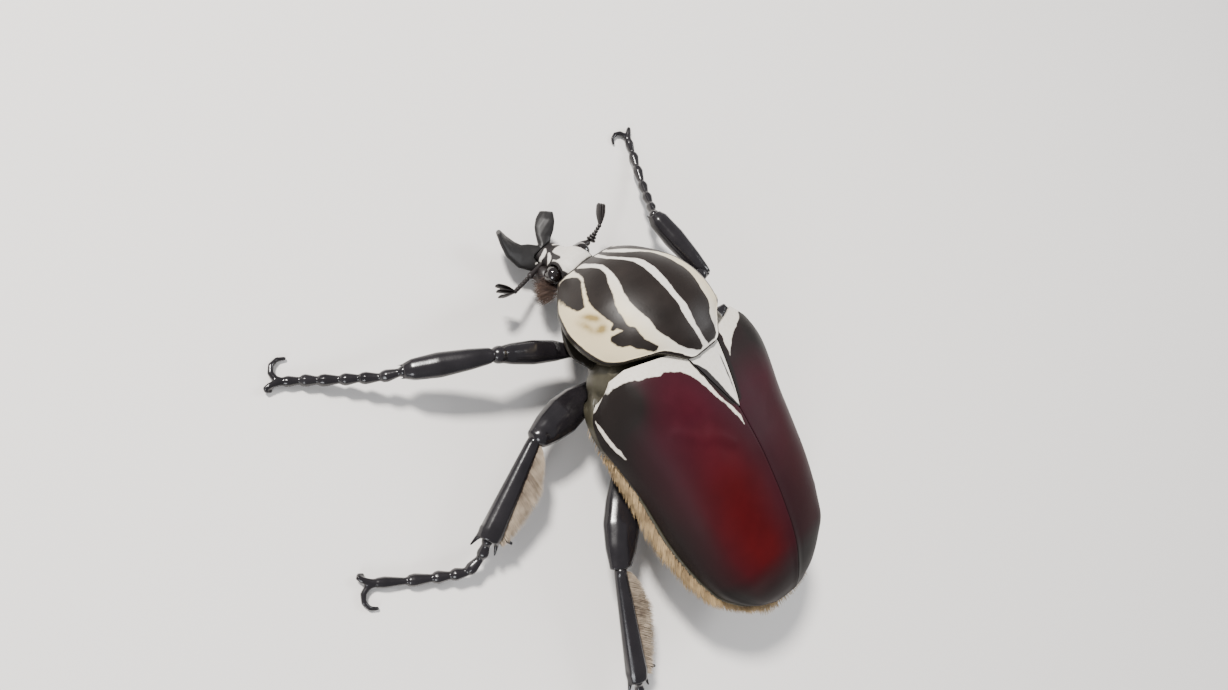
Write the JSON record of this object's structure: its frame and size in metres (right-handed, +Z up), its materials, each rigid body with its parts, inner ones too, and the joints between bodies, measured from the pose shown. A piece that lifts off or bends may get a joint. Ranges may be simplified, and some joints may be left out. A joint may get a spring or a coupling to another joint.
{
  "type": "goliath beetle",
  "caption": "Life-size still model of a male goliath beetle with a striped thorax shield, a forked horn and clawed legs, standing low with its legs spread.",
  "frame": {"origin": "middle of the bounding box on the floor", "axes": "+Y toward the head, +X to the animal's right, +Z up"},
  "size_m": [0.108, 0.1246, 0.032],
  "materials": {
    "glossy_black": "gloss",
    "maroon_velvet": "satin",
    "cream_white": "satin",
    "striped_shell": "satin, black with cream bands",
    "head_white": "satin",
    "horn_black": "satin",
    "eye_dark": "gloss",
    "body_olive": "satin",
    "hair_tan": "matte"
  },
  "bodies": {
    "root": {"abdomen": "body_olive", "antenna_left": "glossy_black", "antenna_right": "glossy_black", "coxa_front_left": "glossy_black", "coxa_front_right": "glossy_black", "coxa_hind_left": "glossy_black", "coxa_hind_right": "glossy_black", "coxa_middle_left": "glossy_black", "coxa_middle_right": "glossy_black", "elytron_left": "maroon_velvet", "elytron_right": "maroon_velvet", "eye_left": "eye_dark", "eye_right": "eye_dark", "femur_front_left": "glossy_black", "femur_front_right": "glossy_black", "femur_hind_left": "glossy_black", "femur_hind_right": "glossy_black", "femur_middle_left": "glossy_black", "femur_middle_right": "glossy_black", "head": "head_white", "horn": "horn_black", "mouthparts": "glossy_black", "pronotum": "striped_shell", "prosternum": "body_olive", "scutellum": "cream_white", "tail_plate": "hair_tan", "tarsus_front_left": "glossy_black", "tarsus_front_right": "glossy_black", "tarsus_hind_left": "glossy_black", "tarsus_hind_right": "glossy_black", "tarsus_middle_left": "glossy_black", "tarsus_middle_right": "glossy_black", "thorax": "body_olive", "tibia_front_left": "glossy_black", "tibia_front_right": "glossy_black", "tibia_hind_left": "glossy_black", "tibia_hind_right": "glossy_black", "tibia_middle_left": "glossy_black", "tibia_middle_right": "glossy_black"}
  },
  "joints": []
}
